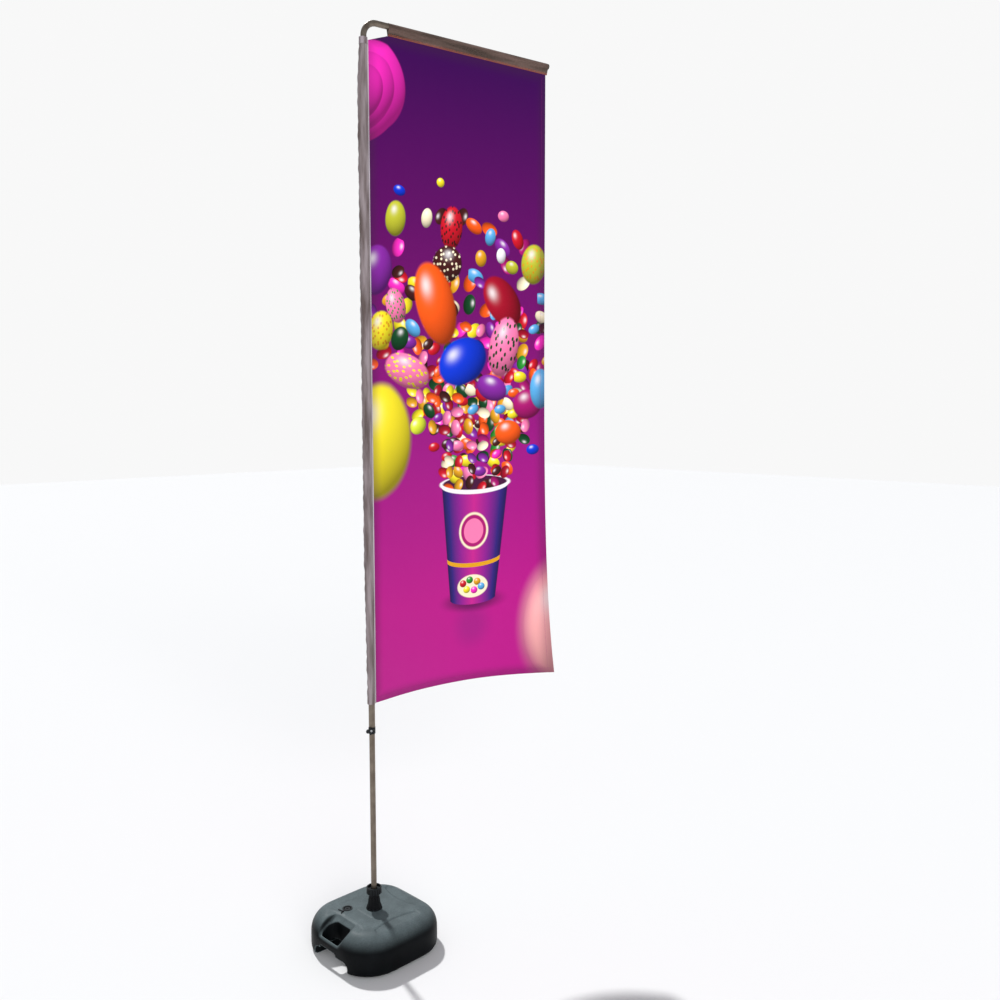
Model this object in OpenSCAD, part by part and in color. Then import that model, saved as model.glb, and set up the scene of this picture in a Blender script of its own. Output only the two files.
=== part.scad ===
// Banner flag on an L-shaped telescopic mast, standing in a water-filled plastic base.
// Millimetres. +Z is up, and the origin is on the pole axis at the underside of the tank.
// The tank's grip is on -X. The arm and the flag point along flag_heading.

/* [Base tank] */
// Side of the square tank, at the middle of its bowed sides
tank_side = 498; // [440:1:580]
// How far each side bows out beyond its corners
side_bow = 8; // [2:1:14]
// Height of the tank
tank_height = 168; // [140:1:200]
// Corner radius of the tank seen from above
tank_corner_r = 150; // [110:1:170]
// Radius of the shoulder between side and top
tank_shoulder_r = 85; // [60:1:100]
// Radius of the edge between side and underside
tank_foot_r = 20; // [12:1:24]
// Wall of the blow-moulded tank
tank_wall = 3; // [2.5:0.1:4]
// Depth of the step round the recess on each side of the tank's top
petal_step = 4; // [3:0.5:7]
// Distance from the pole axis to the recess on each side
petal_start = 128; // [115:1:145]
// Depth of the shallow panel between the pole socket and the grip
panel_step = 2; // [1.5:0.5:3]

/* [Grip] */
// Length of the hand opening
grip_opening_l = 128; // [90:1:134]
// How far the hand opening's middle lies off the pole axis, towards +Y
grip_off = 12; // [0:1:16]
// Width of the hand opening
grip_opening_w = 70; // [55:1:76]
// Thickness of the grip bar
grip_bar_t = 13; // [12:0.5:20]
// Height of the grip bar's crest, at its inner face
grip_bar_top = 104; // [92:1:112]
// Height of the grip bar's underside
grip_bar_bottom = 68; // [64:1:76]
// Height of the scoop on both sides of the bar
grip_scoop_h = 54; // [46:1:60]
// Width of the scoop
grip_scoop_w = 234; // [200:1:240]
// How far the scoop's middle lies off the pole axis, towards -Y
grip_scoop_off = 5; // [0:1:12]

/* [Filler] */
// Distance of the filler from the pole axis along -X
filler_x = 90; // [82:1:96]
// Distance of the filler from the pole axis along +Y
filler_y = 79; // [74:1:84]
// Radius of the filler hole
filler_hole_r = 10; // [8:0.5:11]
// Radius of the filler cap
filler_cap_r = 13; // [12.5:0.5:14]

/* [Pole] */
// Radius of the lower pole
pole_r = 12.5; // [11:0.5:13]
// Wall of the lower pole
pole_wall = 1.5; // [1:0.1:2]
// Length of the lower pole
pole_l = 1290; // [1150:10:1500]
// Height of the stop collar's underside above the floor
collar_z = 973; // [800:1:1050]
// Height of the stop collar
collar_h = 27; // [24:1:34]
// Direction that the clamp lever's screw points in, about +Z
clamp_heading = -133; // [-180:1:180]

/* [Mast] */
// Height of the arm's axis above the floor
arm_z = 4000; // [3300:10:4800]
// Wall of the mast tube
mast_wall = 1; // [0.8:0.1:1.5]
// Gap between the lower pole and the mast tube, filled by the bushes
mast_gap = 0.5; // [0.4:0.1:1]
// Length from the mast axis to the end of the arm
arm_l = 960; // [700:10:1200]
// Radius of the bend's centreline
bend_r = 60; // [50:1:80]
// Length of the arm tube's leg inside the mast tube
arm_leg_in = 130; // [90:5:200]
// Direction of the arm about +Z
flag_heading = -10; // [-180:1:180]

/* [Flag] */
// Height of the flag's lower edge above the floor
flag_bottom_z = 1107; // [1020:1:1400]
// Distance from the arm's axis down to the seam of its sleeve
arm_sleeve_drop = 38; // [30:1:50]
// Distance from the mast axis to the start of the arm sleeve
arm_sleeve_start = 115; // [95:1:140]
// Distance from the arm's axis down to the top of the mast sleeve
mast_sleeve_top = 68; // [62:1:80]
// Distance from the mast axis to the seam between sleeve and panel
seam_u = 17; // [16:0.5:20]
// Thickness of the solid that stands for the cloth
cloth_t = 1; // [0.8:0.1:1.5]
// How far the lower edge bellies out
belly = 85; // [0:1:110]
// How far the lower free corner curls the other way
corner_curl = 120; // [0:1:140]

/* [Hidden] */

$fn = 64;
eps = 0.01;
fit = 0.05;                         // radial running clearance
gap = 0.3;                          // clearance between fixed neighbours

// Tank
half = tank_side / 2;
hull_fn = 36;
arc_steps = 8;
petal_r = 320;                      // radius of each recess's inner edge
petal_half = 122;                   // half width of each recess
petal_end_r = 50;
petal_depth = half - petal_start + petal_end_r;
petal_floor = tank_height - petal_step;
panel_in_x = -60;                   // side of the shallow panel next to the socket
panel_out_x = -petal_start - 20;
panel_y0 = -66;
panel_y1 = 44;
panel_corners = [14, 2, 2, 14];
grip_out_x = -half + grip_bar_t;    // inner face of the grip bar
grip_in_x = grip_out_x + grip_opening_w;
opening_corners = [40, 15, 8, 12];  // radii: inner +Y, outer +Y, outer -Y, inner -Y
slope_start = 140;                  // distance from the pole axis to the top of the slope to the bar
slope_angle = atan2(petal_floor - grip_bar_top, -slope_start - grip_out_x);
slope_margin = 6;                   // from the opening's ends to the slope's ends
slope_flare = 44;                   // how far the slope's -Y end leans out over slope_flare_h
slope_flare_tight = 14;             // the same for its +Y end
slope_flare_h = 60;
bar_under_margin = 8;               // from the opening's -Y end to the end of the bar's underside
scoop_corners = [25, 38, 38, 25];   // radii: towards -Y, then +Y, at the top and mirrored below the floor
bar_under_r = 6;
scoop_in_x = grip_in_x + 14;

// Socket, gasket, collet and nut
well_r = pole_r + 4.8;
well_floor = 6;
socket_r = well_r - gap;
socket_bottom = well_floor + gap;
socket_floor = 4;
gasket_t = 2;
seat_z = tank_height - 2.5;         // floor of the round seat under the flange
neck_r = pole_r + 10;
neck_waist_r = neck_r + 6;
thread_r = neck_r + 1.5;
flange_z = seat_z + gasket_t;
flange_r = neck_waist_r + 6.5;
flange_t = 5;
seat_r = flange_r + 1.5;
neck_waist_z = flange_z + 24;       // where the flare meets the straight neck
nut_h = 35;
nut_z = flange_z + 66;              // underside of the nut
nut_r = thread_r + 10;
nut_top = nut_z + nut_h;
neck_flutes = 12;
flute_r = 3.2;
flute_tilt = 14;
thread_z = nut_z - 2;
thread_top = nut_z + 17;
collet_r = pole_r + 3.2;
collet_h = 20;
collet_lip = 1.7;
collet_slots = 4;
collet_slot_w = 1.6;
collet_foot = 6;                    // height of the uncut foot of the collet
web_z = thread_top + collet_lip + gap;
web_t = 6;
web_r = collet_r - 0.4;
nut_lip_w = 6;
nut_lip_edge = 2;
nut_chamfer = 7;
nut_grips = 18;
nut_grip_r = 2.6;
nut_grip_out = 1.2;                 // how far each grip flute's axis lies outside the nut

// Filler
recess_r = filler_cap_r + 4;
recess_floor = tank_height - 8;
spout_wall = 3;
spout_l = 14;
seal_t = 1.5;
cap_t = 7;
cap_stem_l = 12;
cap_stem_wall = 3;
cap_grips = 16;
cap_grip_r = 1;
cap_slot_l = 14;
cap_slot_w = 2.5;
cap_slot_depth = 2.5;
tether_t = 2.5;
tether_w = 5.5;
tether_stud_r = 4.5;
tether_stud_h = 4.5;
tether_stud_out = recess_r + tether_w + 9;
tether_angle = 195;                 // direction of the stud, seen from the filler
tether_tails = [[-95, 28], [12, 15]]; // angle from the stud's direction, and length

// Lower pole and collar
pole_in_r = pole_r - pole_wall;
pole_z = socket_bottom + socket_floor + 2.5;
foot_t = 2.2;
plug_wall = 2;
pole_top = pole_z + pole_l;
plug_l = 25;
top_bush_l = 18;
collar_r = pole_r + 2.7;
collar_top = collar_z + collar_h;
clamp_z = collar_top - 7.5;         // the boss stays just below the collar's top
collar_edge = 1;
collar_groove_z = 5;                // from the collar's ends to its grooves
collar_groove_w = 1;
collar_groove_t = 0.6;
boss_r = 7;
boss_in = pole_r + 1;
boss_out = pole_r + 5.5;
screw_r = 3;
insert_r = 4.5;
insert_in = boss_in;
lever_t = 7;
lever_in = boss_out + gap;
lever_hub_r = 9;
lever_grip_r = 8.5;
lever_grip_l = 16;
lever_grip_angle = -76;             // from straight down, towards the left as seen from outside
lever_ears = [[-140, 16, 3.4], [-16, 15, 4.8]]; // angle, distance from the hub and radius of each ear
screw_head_r = 4.5;
screw_head_t = 3;
screw_socket_af = 4;
screw_socket_depth = 2;

// Mast and arm
mast_in_r = pole_r + mast_gap;
mast_r = mast_in_r + mast_wall;
foot_flange_t = 3;
foot_flange_r = mast_r + 1;
foot_insert_l = 30;
mast_z = collar_top + gap + foot_flange_t;
leg_top = arm_z - bend_r;
mast_top = leg_top - 40;
arm_r = pole_r;
arm_wall = 1.25;
arm_in_r = arm_r - arm_wall;
leg_bottom = mast_top - arm_leg_in;
top_bush_insert = 40;
top_flange_t = 3;
end_cap_t = 3;
end_plug_l = 20;
snap_z = mast_top - 70;
snap_r = 3;
snap_out = mast_r + 3;
snap_head_r = 4.2;
snap_head_t = 1.6;
snap_in = sqrt(pow(arm_in_r, 2) - pow(snap_head_r, 2)) - 0.2;
clip_t = 0.8;
clip_w = 8;
clip_l = 42;                        // from the button down to the fold
clip_pad = 6;                       // half height of the pad behind the button
clip_up = 4;                        // how far the far leg runs above the button

// Cloth
sleeve_wall = 0.8;
sleeve_in_r = mast_r + 0.5;
sleeve_slack = 10;                  // how far the empty side of the sleeve stands off
sleeve_top_z = arm_z - mast_sleeve_top;
band_h = 28;
band_wall = 0.8;
arm_sleeve_end = arm_l - 3;
arm_sleeve_r = arm_r + 0.5;
panel_end_u = arm_l - 12;
panel_top_z = arm_z - arm_sleeve_drop - gap;
panel_corner_z = arm_z - 75;        // where the cut corner meets the mast sleeve
drop_steps = 24;
cloth_columns = 30;
cloth_rows = 14;
cloth_draw_in = 22;                 // how much the waves shorten the lower edge
cloth_corner_lift = 24;

// ---------- shared shapes ----------

module ring(r_out, r_in, h) {
    difference() {
        cylinder(r = r_out, h = h);
        translate([0, 0, -1]) cylinder(r = r_in, h = h + 2);
    }
}

module rounded_rect(x, y, r) {
    square([x - 2 * r, y], center = true);
    square([x, y - 2 * r], center = true);
    for (sx = [-1, 1], sy = [-1, 1])
        translate([sx * (x / 2 - r), sy * (y / 2 - r)]) circle(r = r);
}

module to_flag() {
    rotate([0, 0, flag_heading]) children();
}

// A radial part of the clamp: its own +Z becomes the clamp screw's direction.
module to_clamp() {
    translate([0, 0, clamp_z]) rotate([0, 0, clamp_heading]) rotate([0, 90, 0]) children();
}

// ---------- base ----------

// Points of a quarter arc about (cx, cz).
function arc(cx, cz, r, a0, a1) =
    [for (i = [0:arc_steps]) let (a = a0 + (a1 - a0) * i / arc_steps) [cx + r * cos(a), cz + r * sin(a)]];

// The tank without its recesses, shrunk by inset all over.
module tank_form(inset) {
    r = tank_corner_r - inset;
    z0 = inset;
    z1 = tank_height - inset;
    foot = tank_foot_r - inset;
    shoulder = tank_shoulder_r - inset;
    mid = half - tank_corner_r;
    at = mid - side_bow;
    hull()
        for (p = [[at, at], [-at, at], [at, -at], [-at, -at], [mid, 0], [-mid, 0], [0, mid], [0, -mid]])
            translate(p) rotate_extrude($fn = hull_fn)
                polygon(concat(
                    [[0, z0]],
                    arc(r - foot, z0 + foot, foot, -90, 0),
                    arc(r - shoulder, z1 - shoulder, shoulder, 0, 90),
                    [[0, z1]]
                ));
}

// Plan of one recess: a shallow bow towards the pole and rounded ends. It runs out along +X by depth.
module petal_plan(grow, depth, end_r) {
    intersection() {
        translate([petal_start + petal_r, 0]) circle(r = petal_r + grow, $fn = 128);
        translate([petal_start + depth / 2, 0])
            rounded_rect(depth + 2 * grow, 2 * (petal_half + grow), end_r);
    }
}

// Everything that is pressed into the tank from outside, grown by inset for the inner skin.
module tank_cuts(inset) {
    for (a = [0, 90, 180, 270])
        rotate([0, 0, a]) translate([0, 0, petal_floor - inset])
            linear_extrude(tank_height) petal_plan(inset, petal_depth, petal_end_r);
    slope_cut(inset);
    translate([0, 0, tank_height - panel_step - inset]) linear_extrude(tank_height)
        corner_rect(panel_out_x, panel_in_x, panel_y0, panel_y1, panel_corners, inset);
    translate([0, 0, seat_z - inset]) cylinder(r = seat_r + inset, h = tank_height);
    translate([0, 0, well_floor - inset]) cylinder(r = well_r + inset, h = tank_height);
    translate([-filler_x, filler_y, recess_floor - inset]) cylinder(r = recess_r + inset, h = tank_height);
    translate([0, grip_off, -1]) linear_extrude(tank_height + 2)
        corner_rect(grip_out_x, grip_in_x, -grip_opening_l / 2, grip_opening_l / 2, opening_corners, inset);
    translate([scoop_in_x + inset, 0, 0]) rotate([90, 0, -90]) linear_extrude(tank_side) scoop_plan(inset);
}

// Rectangle with its own radius at each corner, anticlockwise from the one at x1, y1, grown by grow.
module corner_rect(x0, x1, y0, y1, radii, grow) {
    polygon(concat(
        arc(x1 - radii[0], y1 - radii[0], radii[0] + grow, 0, 90),
        arc(x0 + radii[1], y1 - radii[1], radii[1] + grow, 90, 180),
        arc(x0 + radii[2], y0 + radii[2], radii[2] + grow, 180, 270),
        arc(x1 - radii[3], y0 + radii[3], radii[3] + grow, 270, 360)
    ));
}

// The slope that falls from the grip's recess to the crest of the bar, with ends that flare upwards.
module slope_cut(inset) {
    half_l = grip_opening_l / 2 + slope_margin + inset;
    translate([-slope_start, grip_off, petal_floor - inset]) rotate([0, -slope_angle, 0])
        hull()
            for (top = [0, 1])
                translate([-half, -half_l - top * slope_flare, top * slope_flare_h])
                    cube([half, 2 * half_l + top * (slope_flare + slope_flare_tight), eps]);
}

// Outline of the finger scoop seen from the grip's side: +X here is towards -Y of the tank.
module scoop_plan(grow) {
    x0 = grip_scoop_off - grip_scoop_w / 2;
    corner_rect(x0, x0 + grip_scoop_w, -grip_scoop_h, grip_scoop_h, scoop_corners, grow);
    under_l = grip_opening_l - 2 * bar_under_margin;
    translate([-grip_off, 0]) rounded_rect(under_l + 2 * grow, 2 * (grip_bar_bottom + grow), bar_under_r);
}

module tank() {
    color([0.22, 0.24, 0.25])
        difference() {
            tank_form(0);
            tank_cuts(0);
            difference() {
                tank_form(tank_wall);
                tank_cuts(tank_wall);
                translate([-filler_x, filler_y, recess_floor - spout_l])
                    cylinder(r = filler_hole_r + spout_wall, h = tank_height);
            }
            translate([-filler_x, filler_y, recess_floor - spout_l - 1])
                cylinder(r = filler_hole_r, h = tank_height);
        }
}

module socket() {
    color([0.06, 0.06, 0.06])
        difference() {
            rotate_extrude()
                polygon([
                    [0, socket_bottom], [socket_r, socket_bottom], [socket_r, flange_z],
                    [flange_r, flange_z], [flange_r, flange_z + flange_t],
                    [neck_waist_r, neck_waist_z], [neck_r, thread_z], [thread_r, thread_z],
                    [thread_r, thread_top], [0, thread_top]
                ]);
            translate([0, 0, socket_bottom + socket_floor]) cylinder(r = pole_r + fit, h = nut_top);
            translate([0, 0, thread_top + collet_lip - collet_h]) cylinder(r = collet_r + fit, h = nut_top);
            for (i = [0:neck_flutes - 1])
                rotate([0, 0, i * 360 / neck_flutes]) translate([flange_r + 1, 0, flange_z + flange_t + 1])
                    rotate([0, -flute_tilt, 0])
                        cylinder(r = flute_r, h = thread_z - flange_z - 2 * flange_t);
        }
}

module socket_gasket() {
    color([0.1, 0.1, 0.1])
        translate([0, 0, seat_z]) ring(flange_r - 1, well_r + gap, gasket_t);
}

module collet() {
    color([0.16, 0.16, 0.17])
        translate([0, 0, thread_top + collet_lip - collet_h])
            difference() {
                ring(collet_r, pole_r + fit, collet_h);
                for (i = [0:collet_slots - 1])
                    rotate([0, 0, 45 + i * 360 / collet_slots])
                        translate([pole_r - 2, -collet_slot_w / 2, collet_foot])
                            cube([collet_r - pole_r + 4, collet_slot_w, collet_h]);
            }
}

module lock_nut() {
    color([0.05, 0.05, 0.05])
        difference() {
            rotate_extrude()
                polygon([
                    [thread_r + fit, nut_z], [nut_r - nut_chamfer, nut_z], [nut_r, nut_z + nut_chamfer],
                    [nut_r, nut_top - nut_lip_edge], [nut_r - nut_lip_edge, nut_top],
                    [nut_r - nut_lip_w, nut_top], [nut_r - nut_lip_w, web_z + web_t],
                    [web_r, web_z + web_t], [web_r, web_z], [thread_r + fit, web_z]
                ]);
            for (i = [0:nut_grips - 1])
                rotate([0, 0, i * 360 / nut_grips]) translate([nut_r + nut_grip_out, 0, nut_z - 1])
                    cylinder(r = nut_grip_r, h = nut_h - nut_chamfer);
        }
}

module fill_cap() {
    color([0.15, 0.16, 0.16])
        translate([-filler_x, filler_y, recess_floor + seal_t])
            difference() {
                union() {
                    cylinder(r = filler_cap_r, h = cap_t);
                    translate([0, 0, -cap_stem_l]) cylinder(r = filler_hole_r - fit, h = cap_stem_l);
                }
                for (i = [0:cap_grips - 1])
                    rotate([0, 0, i * 360 / cap_grips]) translate([filler_cap_r + cap_grip_r / 2, 0, 1])
                        cylinder(r = cap_grip_r, h = cap_t, $fn = 24);
                for (turn = [0, 90])
                    rotate([0, 0, turn])
                        translate([-cap_slot_l / 2, -cap_slot_w / 2, cap_t - cap_slot_depth])
                            cube([cap_slot_l, cap_slot_w, cap_t]);
                translate([0, 0, -cap_stem_l - 1])
                    cylinder(r = filler_hole_r - cap_stem_wall, h = cap_stem_l);
            }
}

module fill_seal() {
    color([0.05, 0.05, 0.05])
        translate([-filler_x, filler_y, recess_floor])
            ring(filler_cap_r - 0.5, filler_hole_r + gap, seal_t);
}

// Strap that keeps the filler cap with the tank: an eye round the recess's rim, a stud and two tails.
module cap_tether() {
    color([0.08, 0.08, 0.08])
        translate([-filler_x, filler_y, tank_height]) rotate([0, 0, tether_angle]) {
            linear_extrude(tether_t) {
                difference() {
                    circle(r = recess_r + tether_w);
                    circle(r = recess_r + gap);
                }
                translate([recess_r + tether_w / 2, 0])
                    tether_strip(tether_stud_out - recess_r - tether_w / 2);
                translate([tether_stud_out, 0])
                    for (tail = tether_tails)
                        rotate([0, 0, tail[0]]) tether_strip(tail[1]);
            }
            translate([tether_stud_out, 0, 0]) cylinder(r = tether_stud_r, h = tether_stud_h);
        }
}

module tether_strip(l) {
    translate([0, -tether_w / 2]) square([l, tether_w]);
}

// ---------- lower pole and clamp ----------

module lower_pole() {
    color([0.42, 0.37, 0.33])
        translate([0, 0, pole_z]) ring(pole_r, pole_in_r, pole_l);
}

module pole_foot_plug() {
    color([0.06, 0.06, 0.06]) {
        translate([0, 0, pole_z - foot_t]) cylinder(r = pole_r - gap, h = foot_t);
        translate([0, 0, pole_z - eps]) ring(pole_in_r, pole_in_r - plug_wall, plug_l);
    }
}

module pole_top_bush() {
    color([0.85, 0.85, 0.82]) {
        translate([0, 0, pole_top]) ring(mast_in_r - fit, pole_in_r - plug_wall, top_bush_l);
        translate([0, 0, pole_top - plug_l]) ring(pole_in_r, pole_in_r - plug_wall, plug_l + eps);
    }
}

module stop_collar() {
    color([0.04, 0.04, 0.04])
        difference() {
            union() {
                translate([0, 0, collar_z]) rotate_extrude()
                    polygon([
                        [pole_r + fit, 0], [collar_r - collar_edge, 0], [collar_r, collar_edge],
                        [collar_r, collar_h - collar_edge], [collar_r - collar_edge, collar_h],
                        [pole_r + fit, collar_h]
                    ]);
                to_clamp() translate([0, 0, boss_in]) cylinder(r = boss_r, h = boss_out - boss_in);
            }
            to_clamp() translate([0, 0, insert_in]) cylinder(r = insert_r, h = boss_out);
            to_clamp() cylinder(r = screw_r + gap, h = boss_out);
            for (z = [collar_groove_z, collar_h - collar_groove_z])
                translate([0, 0, collar_z + z - collar_groove_w / 2])
                    ring(collar_r + 1, collar_r - collar_groove_t, collar_groove_w);
        }
}

module clamp_insert() {
    color([0.72, 0.6, 0.3])
        to_clamp() translate([0, 0, insert_in]) ring(insert_r, screw_r + fit, boss_out - insert_in);
}

module clamp_screw() {
    shank_in = pole_r + gap;
    head_in = lever_in + lever_t;
    color([0.8, 0.8, 0.8])
        to_clamp()
            difference() {
                union() {
                    translate([0, 0, shank_in]) cylinder(r = screw_r, h = head_in - shank_in);
                    translate([0, 0, head_in]) cylinder(r = screw_head_r, h = screw_head_t);
                }
                translate([0, 0, head_in + screw_head_t - screw_socket_depth])
                    cylinder(d = screw_socket_af / cos(30), h = screw_head_t, $fn = 6);
            }
}

// Lever that turns with the screw: a round hub, a broad thumb grip and two small ears.
module clamp_lever() {
    color([0.05, 0.05, 0.05])
        to_clamp() translate([0, 0, lever_in]) linear_extrude(lever_t)
            difference() {
                union() {
                    circle(r = lever_hub_r);
                    lever_arm(lever_grip_angle, lever_grip_l, lever_grip_r);
                    for (ear = lever_ears)
                        lever_arm(ear[0], ear[1], ear[2]);
                }
                circle(r = screw_r);
            }
}

module lever_arm(angle, l, r) {
    rotate(angle) {
        translate([0, -r]) square([l, 2 * r]);
        translate([l, 0]) circle(r = r);
    }
}

// ---------- mast and arm ----------

module mast_foot_bush() {
    color([0.12, 0.12, 0.12]) {
        translate([0, 0, collar_top + gap]) ring(foot_flange_r, pole_r + fit, foot_flange_t);
        translate([0, 0, mast_z - eps]) ring(mast_in_r, pole_r + fit, foot_insert_l);
    }
}

module mast_tube() {
    color([0.44, 0.39, 0.35])
        difference() {
            translate([0, 0, mast_z]) ring(mast_r, mast_in_r, mast_top - mast_z);
            translate([0, 0, snap_z]) rotate([0, -90, 0]) cylinder(r = snap_r + 0.1, h = mast_r + 1);
        }
}

module mast_top_bush() {
    color([0.12, 0.12, 0.12])
        union() {
            translate([0, 0, mast_top]) ring(mast_r, arm_r, top_flange_t);
            translate([0, 0, mast_top - top_bush_insert]) ring(mast_in_r, arm_r, top_bush_insert + eps);
        }
}

module arm_tube() {
    color([0.46, 0.34, 0.34])
        difference() {
            to_flag() {
                translate([0, 0, leg_bottom]) ring(arm_r, arm_in_r, leg_top - leg_bottom);
                translate([bend_r, 0, leg_top]) rotate([90, 0, 0]) rotate([0, 0, 90])
                    rotate_extrude(angle = 90) translate([bend_r, 0])
                        difference() {
                            circle(r = arm_r);
                            circle(r = arm_in_r);
                        }
                translate([bend_r, 0, arm_z]) rotate([0, 90, 0]) ring(arm_r, arm_in_r, arm_l - bend_r);
            }
            translate([0, 0, snap_z]) rotate([0, -90, 0]) cylinder(r = snap_r + 0.1, h = mast_r + 1);
        }
}

module arm_end_cap() {
    color([0.05, 0.05, 0.05])
        to_flag() translate([arm_l, 0, arm_z]) rotate([0, 90, 0]) {
            cylinder(r = arm_r + gap, h = end_cap_t);
            translate([0, 0, -end_plug_l]) ring(arm_in_r, arm_in_r - plug_wall, end_plug_l + eps);
        }
}

// Spring button that locks the arm's leg in the mast tube. It is pressed inwards, along +X.
module snap_button() {
    back = snap_in - snap_head_t;
    color([0.75, 0.75, 0.76])
        translate([0, 0, snap_z]) rotate([0, -90, 0]) {
            translate([0, 0, back - eps]) cylinder(r = snap_head_r, h = snap_head_t);
            translate([0, 0, back]) cylinder(r = snap_r, h = snap_out - back);
        }
}

// Folded spring strip behind the button, inside the arm's leg.
module snap_clip() {
    near_x = snap_head_t - snap_in + 0.1;
    far_x = arm_in_r - 2;
    fold = 2;
    color([0.6, 0.6, 0.62])
        translate([0, -clip_w / 2, snap_z]) {
            translate([near_x, 0, -clip_pad]) cube([clip_t, clip_w, 2 * clip_pad]);
            rotate([-90, 0, 0])
                linear_extrude(clip_w)
                    polygon([
                        [near_x, clip_pad - eps], [near_x + clip_t, clip_pad - eps],
                        [far_x - clip_t - fold, clip_l], [far_x - clip_t, clip_l],
                        [far_x - clip_t, -clip_up], [far_x, -clip_up], [far_x, clip_l + clip_t],
                        [far_x - clip_t - fold, clip_l + clip_t]
                    ]);
        }
}

// ---------- cloth ----------

// Plan of the mast sleeve: a loop round the tube that stands off on the side away from the flag.
module sleeve_plan(r) {
    circle(r = r);
    translate([-sleeve_slack, 0]) circle(r = r);
    translate([-sleeve_slack, -r]) square([sleeve_slack, 2 * r]);
}

module sleeve_tube(r_in, wall, h) {
    linear_extrude(h)
        difference() {
            sleeve_plan(r_in + wall);
            sleeve_plan(r_in);
        }
}

module mast_sleeve() {
    color([0.5, 0.44, 0.45])
        to_flag() translate([0, 0, flag_bottom_z])
            sleeve_tube(sleeve_in_r, sleeve_wall, sleeve_top_z - flag_bottom_z);
}

// Doubled band sewn round the top of the mast sleeve.
module sleeve_band() {
    color([0.46, 0.4, 0.4])
        to_flag() translate([0, 0, sleeve_top_z - band_h])
            sleeve_tube(sleeve_in_r + sleeve_wall, band_wall, band_h);
}

// Section of the arm sleeve: round over the arm and drawn to a seam below it.
module drop_plan(r, drop) {
    side = acos(r / drop);
    polygon(concat(
        [for (i = [0:drop_steps])
            let (a = side - 90 + (360 - 2 * side) * i / drop_steps) [r * cos(a), r * sin(a)]],
        [[0, -drop]]
    ));
}

module arm_sleeve() {
    color([0.5, 0.4, 0.36])
        to_flag() translate([arm_sleeve_start, 0, arm_z]) rotate([90, 0, 90])
            linear_extrude(arm_sleeve_end - arm_sleeve_start)
                difference() {
                    drop_plan(arm_sleeve_r + sleeve_wall, arm_sleeve_drop);
                    drop_plan(arm_sleeve_r, arm_sleeve_drop - 2 * sleeve_wall);
                }
}

// One point of the cloth. t runs from seam to free edge and w from lower edge to top, both 0 to 1.
function corner_z(u) = min(panel_top_z, panel_corner_z
    + (panel_top_z - panel_corner_z) * (u - seam_u) / (arm_sleeve_start - seam_u));
function cloth_u(t, w) = seam_u + (panel_end_u - seam_u - cloth_draw_in * pow(1 - w, 2)) * t;
function cloth_v(t, w) = belly * sin(180 * t) * pow(1 - w, 1.2)
    - corner_curl * pow(t, 6) * exp(-w / 0.2);
function cloth_z(t, w) = let (low = flag_bottom_z + cloth_corner_lift * pow(t, 5))
    low + (corner_z(cloth_u(t, 1)) - low) * w;

module cloth_sheet() {
    side = (cloth_columns + 1) * (cloth_rows + 1);
    function at(face, i, j) = face * side + j * (cloth_columns + 1) + i;
    points = [
        for (face = [0, 1], j = [0:cloth_rows], i = [0:cloth_columns])
            let (t = i / cloth_columns, w = j / cloth_rows)
                [cloth_u(t, w), cloth_v(t, w) + (face - 0.5) * cloth_t, cloth_z(t, w)]
    ];
    front = [
        for (j = [0:cloth_rows - 1], i = [0:cloth_columns - 1], half_quad = [0, 1])
            half_quad == 0 ? [at(0, i, j), at(0, i, j + 1), at(0, i + 1, j + 1)]
                : [at(0, i, j), at(0, i + 1, j + 1), at(0, i + 1, j)]
    ];
    back = [
        for (j = [0:cloth_rows - 1], i = [0:cloth_columns - 1], half_quad = [0, 1])
            half_quad == 0 ? [at(1, i, j), at(1, i + 1, j + 1), at(1, i, j + 1)]
                : [at(1, i, j), at(1, i + 1, j), at(1, i + 1, j + 1)]
    ];
    low_and_high = [
        for (i = [0:cloth_columns - 1], k = [0, 1])
            let (j = k * cloth_rows)
            let (a = at(0, i, j), b = at(0, i + 1, j), c = at(1, i + 1, j), d = at(1, i, j))
                each k == 0 ? [[a, b, c], [a, c, d]] : [[a, c, b], [a, d, c]]
    ];
    ends = [
        for (j = [0:cloth_rows - 1], k = [0, 1])
            let (i = k * cloth_columns)
            let (a = at(0, i, j), b = at(0, i, j + 1), c = at(1, i, j + 1), d = at(1, i, j))
                each k == 0 ? [[a, c, b], [a, d, c]] : [[a, b, c], [a, c, d]]
    ];
    polyhedron(points = points, faces = concat(front, back, low_and_high, ends), convexity = 6);
}

module flag_panel() {
    color([0.62, 0.1, 0.5])
        to_flag() cloth_sheet();
}

tank();
socket();
socket_gasket();
collet();
lock_nut();
fill_cap();
fill_seal();
cap_tether();
lower_pole();
pole_foot_plug();
pole_top_bush();
stop_collar();
clamp_insert();
clamp_screw();
clamp_lever();
mast_foot_bush();
mast_tube();
mast_top_bush();
arm_tube();
arm_end_cap();
snap_button();
snap_clip();
mast_sleeve();
sleeve_band();
arm_sleeve();
flag_panel();
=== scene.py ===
import math

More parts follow.
